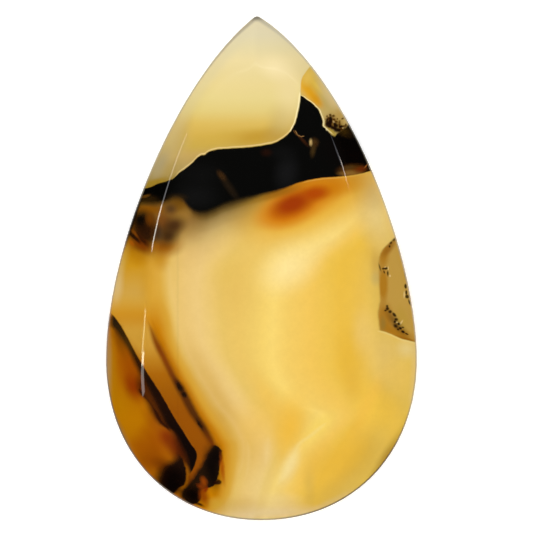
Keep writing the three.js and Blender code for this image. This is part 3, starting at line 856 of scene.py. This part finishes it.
def spot(tree, place, x, y, long, wide, angle, soft, strength):
    """An oval spot with half lengths long and wide, long lying at an angle in degrees.
    soft is the share of its radius over which its edge fades."""
    size = (2 * long, 2 * wide, SPOT_DEPTH)
    local = add_node(tree, "Mapping", {
        0: place, 1: (x, y, 0), 2: (0, 0, math.radians(angle)), 3: size,
    }, vector_type="TEXTURE")
    near = add_node(tree, "TexGradient", {0: local.outputs[0]}, gradient_type="SPHERICAL")
    mask = add_node(tree, "MapRange", {
        0: near.outputs[1], 1: 0.5 - soft / 2, 2: 0.5 + soft / 2, 4: strength,
    }, interpolation_type="SMOOTHSTEP", clamp=False)
    return mask.outputs[0]


def wavered(tree, place, size, amount):
    """The place moved about a little, so that edges waver over a size in mm."""
    noise = add_node(tree, "TexNoise", {"Vector": place, "Scale": 1 / size, "Detail": WAVE_DETAIL})
    shift = add_node(tree, "VectorMath", {0: noise.outputs[1], 1: (0.5, 0.5, 0.5)},
                     operation="SUBTRACT")
    scaled = add_node(tree, "VectorMath", {0: shift.outputs[0], 3: amount}, operation="SCALE")
    return add_node(tree, "Mapping", {0: place, 1: scaled.outputs[0]}).outputs[0]


def distance_along(tree, place, angle):
    """How far a place lies from the stone's middle in mm, in a direction given in degrees.
    A linear gradient reads it. Separate XYZ would need a change of type for each place,
    which makes the renderer work out every mask before the first one is used."""
    turned = add_node(tree, "Mapping", {
        0: place, 1: (0.5, 0, 0), 2: (0, 0, -math.radians(angle)), 3: [0.5 / GRADIENT_REACH] * 3,
    })
    share = add_node(tree, "TexGradient", {0: turned.outputs[0]}, gradient_type="LINEAR")
    return add_node(tree, "MapRange", {
        0: share.outputs[1], 3: -GRADIENT_REACH, 4: GRADIENT_REACH}, clamp=False).outputs[0]


def x_and_y(tree, place):
    """How far a place lies to the right and towards the tip, in mm."""
    return distance_along(tree, place, 0), distance_along(tree, place, 90)


def add_clouds(tree, place, colour, clouds):
    """Lay soft coloured clouds over a colour, one after another."""
    for *shape, cloud, strength in clouds:
        colour = lay(tree, colour, cloud, spot(tree, place, *shape, strength))
    return colour


def add_specks(tree, place, colour, specks):
    """Lay small marks of one colour over a colour."""
    dark, strength, shapes = specks
    for shape in shapes:
        colour = lay(tree, colour, dark, spot(tree, place, *shape, strength))
    return colour


def add_line(tree, along, across, colour, line):
    """Lay a line over a colour."""
    middle, half, soft, over, strength = line
    return lay(tree, colour, over, stripe(tree, along, across, middle, half, soft, strength))


# The markings, from the lowest layer up

def banded_field(tree, place, x, y):
    """The nested cream, yellow and gold bands, with their clouds, light painted along the outline, and
    growth lines.
    """
    guides = [course(tree, y, guide) for guide in BAND_GUIDES]
    last = add_node(tree, "Math", {0: guides[-1], 1: LAST_BAND_WIDTH}, operation="ADD")
    guides.append(last.outputs[0])
    level = 0.0
    for inner, outer in zip(guides, guides[1:]):
        share = add_node(tree, "MapRange", {0: x, 1: inner, 2: outer}, clamp=False).outputs[0]
        share = add_node(tree, "Math", {0: share, 1: 0.0}, operation="MAXIMUM").outputs[0]
        share = add_node(tree, "Math", {0: share, 1: 1.0}, operation="MINIMUM").outputs[0]
        level = add_node(tree, "Math", {0: share, 1: level}, operation="ADD").outputs[0]
    colour = shades(tree, level, BAND_COLOURS)
    colour = add_clouds(tree, place, colour, FIELD_CLOUDS_AND_EDGE_LIGHT)
    for line in GROWTH_LINES:
        colour = add_line(tree, y, x, colour, line)
    outside = past(tree, course(tree, y, BAND_GUIDES[0]), x, FLANK_SOFT)
    colour = lay(tree, colour, shades(tree, y, FLANK_SHADES), outside)
    return add_clouds(tree, place, colour, GOLD_FLANK_AND_EDGE_LIGHT)


def mottled(tree, place, colour):
    """A faint cloudiness in the layers, coarse and fine."""
    for size, over in MOTTLING:
        noise = add_node(tree, "TexNoise", {"Vector": place, "Scale": 1 / size, "Detail": WAVE_DETAIL})
        cloudy = past(tree, noise.outputs[0], MOTTLE_MIDDLE, MOTTLE_SOFT, MOTTLE_STRENGTH)
        colour = lay(tree, colour, over, cloudy)
    return colour


def amber_zones(tree, x, y, colour):
    """The saturated zones, one in another, between the banded field and the clear amber."""
    halo = course(tree, y, HALO_EDGE)
    colour = lay(tree, colour, HALO_COLOUR, *left_and_below(tree, x, y, halo, HALO_FADE))
    inner = add_node(tree, "Math", {0: halo, 1: HALO_INNER}, operation="SUBTRACT").outputs[0]
    colour = lay(tree, colour, INNER_COLOUR, *left_and_below(tree, x, y, inner, INNER_FADE))
    fill = shades(tree, y, FILL_SHADES)
    fill_edge = course(tree, y, FILL_EDGE)
    return lay(tree, colour, fill, *left_and_below(tree, x, y, fill_edge, FILL_FADE))


def amber_and_stripes(tree, place, x, y, colour, amber):
    """The clear amber at the lower left, and its black and brown stripes."""
    black_right = course(tree, y, BLACK_RIGHT)
    colour = lay(tree, colour, amber, *left_and_below(tree, x, y, black_right, AMBER_FADE))
    colour = add_clouds(tree, place, colour, AMBER_STAINS)
    inside = past(tree, black_right, x, BLACK_RIGHT_SOFT)
    smoke = past(tree, x, course(tree, y, SMOKE_LEFT), SMOKE_LEFT_SOFT, SMOKE_STRENGTH)
    below = past(tree, SMOKE_TOP, y, SMOKE_TOP_SOFT)
    colour = lay(tree, colour, SMOKE_COLOUR, smoke, inside, below)
    colour = add_line(tree, y, x, colour, SECOND_STRIPE)
    black = past(tree, x, course(tree, y, BLACK_LEFT), BLACK_LEFT_SOFT)
    colour = lay(tree, colour, shades(tree, y, BLACK_SHADES), black, inside)
    colour = add_line(tree, y, x, colour, BROWN_STAIN)
    brown = stripe(tree, y, x, BROWN_STRIPE, BROWN_HALF, BROWN_SOFT, BROWN_STRENGTH)
    return lay(tree, colour, shades(tree, y, BROWN_SHADES), brown)


def dark_blobs(tree, place, colour):
    """The dark spots in the brown stripe and the dark blobs at the bend, all with ragged
    edges."""
    ragged = wavered(tree, place, *RAGGED_WAVES)
    colour = add_specks(tree, ragged, colour, BROWN_SPOTS)
    x, y = x_and_y(tree, ragged)
    for left, left_soft, right, dark in BLOBS:
        colour = lay(tree, colour, dark, past(tree, x, course(tree, y, left), left_soft),
                     past(tree, course(tree, y, right), x, BLOB_RIGHT_SOFT))
    colour = add_specks(tree, ragged, colour, BLOB_CORES)
    colour = add_clouds(tree, ragged, colour, BLOB_GAPS)
    return add_specks(tree, ragged, colour, BLOB_SPECKS)


def right_inclusion(tree, place, x, y, colour):
    """The tan inclusion at the right edge, with its specks."""
    colour = add_clouds(tree, place, colour, INCLUSION_SURROUND)
    tan = add_clouds(tree, place, linear(INCLUSION_COLOUR), INCLUSION_STAINS)
    tan = add_specks(tree, place, tan, INCLUSION_GLINTS)
    tan = add_specks(tree, place, tan, INCLUSION_SPECKS)
    left = past(tree, x, course(tree, y, INCLUSION_LEFT), INCLUSION_LEFT_SOFT)
    foot = past(tree, y, course(tree, x, INCLUSION_FOOT), INCLUSION_FOOT_SOFT)
    colour = lay(tree, colour, tan, left, foot)
    return add_line(tree, x, y, colour, UNDER_INCLUSION)


def black_band(tree, place, x, y, colour, black):
    """The dense band across the stone, soft underneath at the left and crisp at the right."""
    lower = course(tree, x, BAND_LOWER)
    depth = add_node(tree, "Math", {0: lower, 1: y}, operation="SUBTRACT").outputs[0]
    glow = course(tree, depth, GLOW_BY_DEPTH)
    from_left = past(tree, x, *GLOW_LEFT, GLOW_STRENGTH)
    from_right = past(tree, GLOW_RIGHT[0], x, GLOW_RIGHT[1])
    colour = lay(tree, colour, GLOW_COLOUR, glow, from_left, from_right)
    shade = lay(tree, linear(SHADE_BROWN), SHADE_RED, past(tree, x, *SHADE_TURN))
    colour = lay(tree, colour, shade, course(tree, depth, SHADE_BY_DEPTH),
                 course(tree, x, SHADE_ALONG))
    colour = add_clouds(tree, place, colour, IRON_STAIN)
    colour = add_clouds(tree, place, colour, TORTOISE)
    colour = add_line(tree, x, y, colour, UNDER_BAND)
    dark = add_clouds(tree, place, black, IN_THE_BLACK)
    return lay(tree, colour, dark, past(tree, y, lower, course(tree, x, BAND_LOWER_SOFT)))


def golden_corner(tree, place, fine, x, y, colour):
    """The golden corner at the upper right, with a cream edge and fern-like specks."""
    gold = add_clouds(tree, place, linear(CORNER_COLOUR), CORNER_CLOUDS)
    gold = add_line(tree, y, x, gold, INSIDE_CORNER)
    for specks in (FERN_BROWN, FERN_DARK, FERN_LIGHT):
        gold = add_specks(tree, fine, gold, specks)
    left = past(tree, x, course(tree, y, CORNER_LEFT), CORNER_LEFT_SOFT)
    return lay(tree, colour, gold, left,
               past(tree, y, course(tree, x, CORNER_FOOT), CORNER_FOOT_SOFT))


def milky_cap_with_sheen(tree, place, x, y, colour, cap):
    """The milky layer towards the tip, with its thin cream edge and its painted sheen."""
    milk = shades(tree, y, [*CAP_SHADES, (CAP_MIDDLE, cap), *CAP_TIP_SHADES_AND_SHEEN])
    milk = add_clouds(tree, place, milk, CAP_CLOUDS_AND_SHEEN)
    milk = add_line(tree, x, y, milk, ABOVE_CAP_EDGE)
    milk = add_line(tree, y, x, milk, INSIDE_CAP_EDGE)
    above = past(tree, y, course(tree, x, CAP_LOWER), CAP_SOFT)
    return lay(tree, colour, milk, above, past(tree, course(tree, y, CAP_RIGHT), x, CAP_SOFT))


def painted_rim_sheen_and_shade(tree, place, height, girdle_top, colour):
    """Painted sheen and shade in a thin line where the flank turns down into the upright girdle."""
    rim = lay(tree, colour, PAINTED_RIM_GREY, PAINTED_RIM_STRENGTH)
    rim = add_clouds(tree, place, rim, PAINTED_RIM_SHEEN_AND_SHADE)
    return lay(tree, colour, rim, past(tree, girdle_top + PAINTED_RIM_HEIGHT, height, PAINTED_RIM_SOFT),
               past(tree, height, girdle_top - PAINTED_RIM_HEIGHT, PAINTED_RIM_SOFT))


def among_the_markings(tree, in_mm, height, girdle_top):
    """Where each place of the stone lies among the markings."""
    # They are placed as they look from the photograph's camera. What lies higher looks
    # further out from the middle of the view, so each place is spread as it was seen.
    spread = add_node(tree, "Math", {
        0: height, 1: 1 / VIEW_HEIGHT, 2: 1 - girdle_top / VIEW_HEIGHT,
    }, operation="MULTIPLY_ADD").outputs[0]
    middle = (PHOTO_CENTRE.x, PHOTO_CENTRE.y, 0)
    out = add_node(tree, "VectorMath", {0: in_mm, 1: middle}, operation="SUBTRACT").outputs[0]
    out = add_node(tree, "VectorMath", {0: out, 3: spread}, operation="SCALE").outputs[0]
    seen = add_node(tree, "VectorMath", {0: out, 1: (1, 1, 0), 2: middle},
                    operation="MULTIPLY_ADD").outputs[0]

    # Below the girdle's top the layers run on down at a slant.
    under = add_node(tree, "Math", {0: girdle_top, 1: height}, operation="SUBTRACT").outputs[0]
    under = add_node(tree, "Math", {0: under, 1: 0.0}, operation="MAXIMUM").outputs[0]
    slant = add_node(tree, "VectorMath", {0: SLANT, 3: under}, operation="SCALE").outputs[0]
    return add_node(tree, "VectorMath", {0: seen, 1: slant}, operation="ADD").outputs[0]


def polished_agate(settings):
    """Agate, a fine fibrous quartz, cut and polished: glassy on top, with a matt ground
    back. The colour lies inside it, so all of it is in the base colour and none is raised.
    The base colour also holds painted sheen and shade along the edges and near the tip."""
    material = bpy.data.materials.new("polished banded agate")
    material.use_nodes = True
    tree = material.node_tree
    tree.nodes.clear()
    where = add_node(tree, "TexCoord").outputs["Object"]
    in_mm = add_node(tree, "VectorMath", {0: where, 3: 1 / MM}, operation="SCALE").outputs[0]
    height = add_node(tree, "SeparateXYZ", {0: in_mm}).outputs[2]
    girdle_top = settings.girdle_top / MM
    place = among_the_markings(tree, in_mm, height, girdle_top)

    soft = wavered(tree, place, *SOFT_WAVES)
    crisp = wavered(tree, place, *CRISP_WAVES)
    fine = wavered(tree, place, *FINE_WAVES)
    colour = banded_field(tree, soft, *x_and_y(tree, soft))
    colour = mottled(tree, place, colour)
    x, y = x_and_y(tree, crisp)
    colour = amber_zones(tree, x, y, colour)
    colour = amber_and_stripes(tree, crisp, x, y, colour, [*settings.amber, 1.0])
    colour = dark_blobs(tree, crisp, colour)
    colour = right_inclusion(tree, crisp, x, y, colour)
    colour = black_band(tree, crisp, x, y, colour, [*settings.black, 1.0])
    colour = golden_corner(tree, crisp, fine, x, y, colour)
    colour = milky_cap_with_sheen(tree, crisp, x, y, colour, [*settings.cap, 1.0])
    colour = painted_rim_sheen_and_shade(tree, place, height, girdle_top, colour)

    bevel = settings.bevel / MM
    ground = add_node(tree, "MapRange", {
        0: height, 1: bevel + POLISH_FROM, 2: bevel + GROUND_FROM,
        3: settings.polish, 4: settings.ground,
    })
    surface = add_node(tree, "BsdfPrincipled", {
        "Base Color": colour, "Roughness": ground.outputs[0], "IOR": QUARTZ_IOR,
    })
    add_node(tree, "OutputMaterial", {0: surface.outputs[0]})
    return material


# The stage

def add_floor(context, colour):
    """Add the floor. It lies a hair below the stone's flat back, so that the two don't share
    a plane."""
    bpy.ops.mesh.primitive_plane_add(size=FLOOR_SIZE, location=(0, 0, -FLOOR_GAP * MM))
    floor = context.object
    floor.name = "floor"
    paper = bpy.data.materials.new("matt white paper")
    paper.use_nodes = True
    shader = paper.node_tree.nodes["Principled BSDF"]
    shader.inputs["Base Color"].default_value = [*colour, 1.0]
    shader.inputs["Roughness"].default_value = FLOOR_ROUGHNESS
    shader.inputs["Specular IOR Level"].default_value = 0.0
    shader.inputs["Emission Color"].default_value = (1.0, 1.0, 1.0, 1.0)
    shader.inputs["Emission Strength"].default_value = FLOOR_GLOW
    floor.data.materials.append(paper)


def add_light(context, name, compass, down, wide, tall, brightness, colour, shows):
    """Add an area light that faces the stone, as one row of the lights says."""
    turned, tilt = math.radians(compass), math.radians(down)
    way = Vector((math.cos(turned) * math.sin(tilt),
                  math.sin(turned) * math.sin(tilt), math.cos(tilt)))
    bpy.ops.object.light_add(type="AREA", location=way * LIGHT_DISTANCE)
    light = context.object
    light.name = name
    light.rotation_euler = way.to_track_quat("Z", "Y").to_euler()
    lamp = light.data
    lamp.shape = "RECTANGLE"
    lamp.size = 2 * LIGHT_DISTANCE * math.tan(math.radians(wide / 2))
    if down:
        lamp.size *= math.sin(tilt)
    lamp.size_y = 2 * LIGHT_DISTANCE * math.tan(math.radians(tall / 2))
    lamp.energy = brightness * math.pi * lamp.size * lamp.size_y
    lamp.color = linear(colour)[:3]
    light.visible_camera = False
    light.visible_glossy = shows


def set_surroundings(scene):
    """Give the world a faint glow that is a little stronger overhead."""
    world = scene.world or bpy.data.worlds.new("studio")
    scene.world = world
    world.use_nodes = True
    sky = world.node_tree
    backdrop = sky.nodes["Background"]
    where = add_node(sky, "TexCoord").outputs["Generated"]
    up = add_node(sky, "SeparateXYZ", {0: where}).outputs[2]
    glow = add_node(sky, "MapRange", {0: up, 1: 0.0, 2: 1.0, 3: SKY_LEVEL, 4: SKY_OVERHEAD})
    sky.links.new(glow.outputs[0], backdrop.inputs["Strength"])
    backdrop.inputs["Color"].default_value = (1, 1, 1, 1)


def add_camera(context, camera_height):
    """Add the camera straight above, where the photograph's was."""
    scene = context.scene
    height = camera_height + scene.cabochon.girdle_top
    bpy.ops.object.camera_add(
        location=(PHOTO_CENTRE.x * MM, PHOTO_CENTRE.y * MM, height), rotation=(0, 0, 0))
    camera = context.object
    camera.data.sensor_width = SENSOR_WIDTH
    camera.data.lens = SENSOR_WIDTH * camera_height / (PHOTO_WIDTH * MM)
    camera.data.clip_start = NEAREST_SEEN
    camera.data.dof.use_dof = False
    scene.camera = camera
    scene.view_settings.view_transform = "Standard"


# The operators

def last_ring_to(stone, points):
    """Move the selected ring of a mesh in edit mode to its places, in mm."""
    mesh = bmesh.from_edit_mesh(stone.data)
    step = mesh.verts.layers.int["step"]
    for vert in mesh.verts:
        if vert.select:
            vert.co = points[vert[step]] * MM
    bmesh.update_edit_mesh(stone.data)


class CABOCHON_OT_add_stone(bpy.types.Operator):
    """Add the polished agate cabochon"""
    bl_idname = "cabochon.add_stone"
    bl_label = "Add the cabochon"

    def execute(self, context):
        settings = context.scene.cabochon
        outline = plan_points()
        sections = [section(outline, i, settings) for i in range(len(outline))]
        rings = list(zip(*sections))
        bpy.ops.object.select_all(action="DESELECT")
        bpy.ops.mesh.primitive_circle_add(vertices=len(outline), radius=WIDTH / 2 * MM,
                                          fill_type="NGON", location=(0, 0, 0))
        stone = context.object
        stone.name = "agate_cabochon"
        bpy.ops.object.mode_set(mode="EDIT")
        mesh = bmesh.from_edit_mesh(stone.data)
        step = mesh.verts.layers.int.new("step")
        for number, vert in enumerate(mesh.verts):
            vert[step] = number
        last_ring_to(stone, rings[0])
        for ring in rings[1:]:
            bpy.ops.mesh.extrude_edges_move()
            last_ring_to(stone, ring)
        bpy.ops.mesh.select_all(action="SELECT")
        bpy.ops.mesh.remove_doubles(threshold=SAME_POINT)
        bpy.ops.mesh.dissolve_degenerate(threshold=SHORTEST_EDGE)
        bpy.ops.mesh.select_all(action="SELECT")
        bpy.ops.mesh.normals_make_consistent(inside=False)
        bpy.ops.object.mode_set(mode="OBJECT")
        stone.data.attributes.remove(stone.data.attributes["step"])
        bpy.ops.object.shade_smooth_by_angle(angle=SMOOTH_ANGLE)
        stone.data.materials.append(polished_agate(settings))
        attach(stone, "root")
        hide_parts("cabochon")
        return {"FINISHED"}


class CABOCHON_OT_add_stage(bpy.types.Operator):
    """Add the floor, the lights and the camera"""
    bl_idname = "cabochon.add_stage"
    bl_label = "Add the stage"

    def execute(self, context):
        settings = context.scene.cabochon_stage
        bpy.ops.object.select_all(action="DESELECT")
        add_floor(context, settings.floor)
        for light in LIGHTS:
            add_light(context, *light)
        set_surroundings(context.scene)
        add_camera(context, settings.camera_height)
        return {"FINISHED"}


class CABOCHON_PT_panel(bpy.types.Panel):
    """Lists what can be added"""
    bl_label = "Agate cabochon"
    bl_idname = "CABOCHON_PT_panel"
    bl_space_type = "VIEW_3D"
    bl_region_type = "UI"
    bl_category = "Agate"

    def draw(self, context):
        layout = self.layout
        for group in (context.scene.cabochon, context.scene.cabochon_stage):
            for name in group.__annotations__:
                layout.prop(group, name)
        layout.operator(CABOCHON_OT_add_stone.bl_idname)
        layout.operator(CABOCHON_OT_add_stage.bl_idname)


CLASSES = (CabochonSettings, StageSettings, CABOCHON_OT_add_stone, CABOCHON_OT_add_stage,
           CABOCHON_PT_panel)


def register():
    for cls in CLASSES:
        bpy.utils.register_class(cls)
    bpy.types.Scene.cabochon = bpy.props.PointerProperty(type=CabochonSettings)
    bpy.types.Scene.cabochon_stage = bpy.props.PointerProperty(type=StageSettings)


def unregister():
    del bpy.types.Scene.cabochon_stage
    del bpy.types.Scene.cabochon
    for cls in reversed(CLASSES):
        bpy.utils.unregister_class(cls)


def main():
    register()
    bpy.ops.cabochon.add_stage()
    bpy.ops.cabochon.add_stone()


if __name__ == "__main__":
    main()
